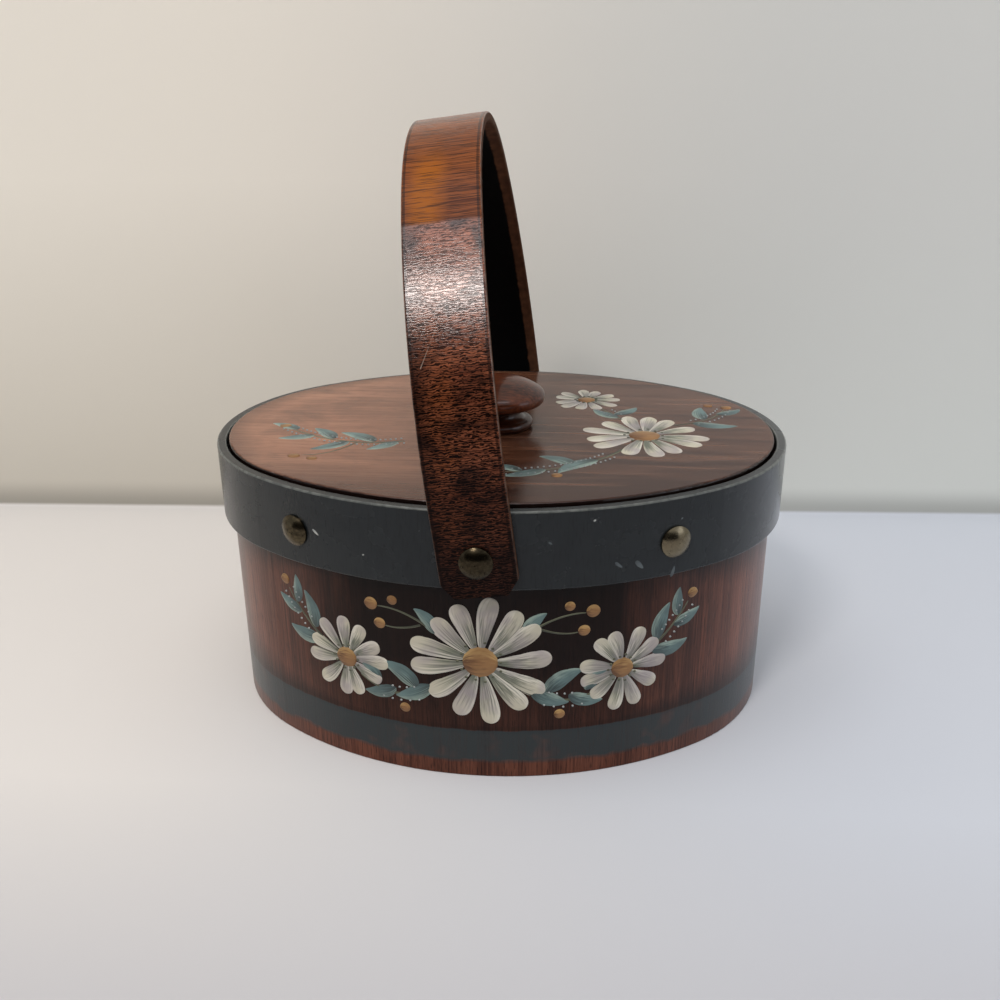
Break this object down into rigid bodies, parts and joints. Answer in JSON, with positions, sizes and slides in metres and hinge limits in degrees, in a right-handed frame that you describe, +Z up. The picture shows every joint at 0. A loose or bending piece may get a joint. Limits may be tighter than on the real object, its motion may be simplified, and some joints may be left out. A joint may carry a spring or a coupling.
{
  "type": "oval bentwood box with lid and swing handle",
  "caption": "Oval bentwood box with a riveted rim hoop, a drop-in lid lifted by a turned knob, and a bent wooden handle that swings on rivets.",
  "frame": {"origin": "on the table under the middle of the box", "axes": "+Z up, +X along the long side of the oval, +Y from the front handle rivet to the back one"},
  "size_m": [0.2152, 0.178, 0.2173],
  "materials": {
    "wood_body": "stained and varnished, upright grain",
    "wood_lid": "stained and varnished, grain along the lid",
    "wood_handle": "dark stain, glossy varnish",
    "painted_wood": "satin slate-grey paint",
    "rivet_brass": "aged, dull",
    "screw_steel": "plain"
  },
  "bodies": {
    "box": {"bottom_board": "wood_body", "body_wall": "wood_body", "top_hoop": "painted_wood", "hoop_rivet_front_left": "rivet_brass", "hoop_rivet_front_right": "rivet_brass", "hoop_rivet_back_left": "rivet_brass", "hoop_rivet_back_right": "rivet_brass", "hoop_washer_front_left": "rivet_brass", "hoop_washer_front_right": "rivet_brass", "hoop_washer_back_left": "rivet_brass", "hoop_washer_back_right": "rivet_brass", "handle_rivet_front": "rivet_brass", "handle_rivet_back": "rivet_brass", "handle_washer_front": "rivet_brass", "handle_washer_back": "rivet_brass"},
    "swing_handle": {"handle": "wood_handle"},
    "lid": {"lid_panel": "wood_lid", "lid_knob": "wood_lid", "knob_screw": "screw_steel"}
  },
  "joints": [
    {"name": "handle_swing", "type": "hinge", "parent": "box", "child": "swing_handle", "pos_m": [0, 0, 0.087], "axis": [0, 1, 0], "range_deg": [-110, 124]},
    {"name": "lid_lift", "type": "slide", "parent": "box", "child": "lid", "axis": [0, 0, 1], "range_m": [0, 0.02]}
  ]
}
